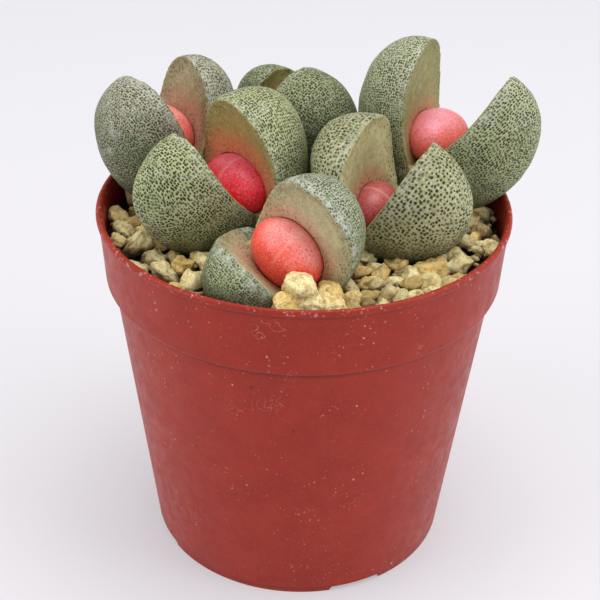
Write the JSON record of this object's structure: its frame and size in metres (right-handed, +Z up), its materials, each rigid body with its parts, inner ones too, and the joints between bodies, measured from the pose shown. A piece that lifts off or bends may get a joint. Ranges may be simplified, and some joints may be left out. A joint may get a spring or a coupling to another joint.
{
  "type": "potted split rock succulent",
  "caption": "Stone-like succulents with split, speckled old leaf pairs and coral new leaf pairs in the clefts, growing in pumice grit in a round tapered nursery pot.",
  "frame": {"origin": "centre of the pot's foot, on the surface that the pot stands on", "axes": "+Z up along the pot's axis, -Y towards the side the picture was taken from, +X to that view's right"},
  "size_m": [0.0962, 0.09, 0.1136],
  "materials": {
    "pot_plastic": "terracotta-coloured nursery plastic with a faint sheen",
    "potting_mix": null,
    "grit": null,
    "leaf_skin": null,
    "new_leaf_skin": null
  },
  "bodies": {
    "root": {"pot": "pot_plastic", "potting_mix": "potting_mix", "grit": "grit", "old_leaves_front": "leaf_skin", "old_leaves_centre_left": "leaf_skin", "old_leaves_centre_right": "leaf_skin", "old_leaves_back_right": "leaf_skin", "old_leaves_back_left": "leaf_skin", "old_leaves_back_middle": "leaf_skin", "new_leaves_front": "new_leaf_skin", "new_leaves_centre_left": "new_leaf_skin", "new_leaves_centre_right": "new_leaf_skin", "new_leaves_back_right": "new_leaf_skin", "new_leaves_back_left": "new_leaf_skin", "new_leaves_back_middle": "new_leaf_skin"}
  },
  "joints": []
}
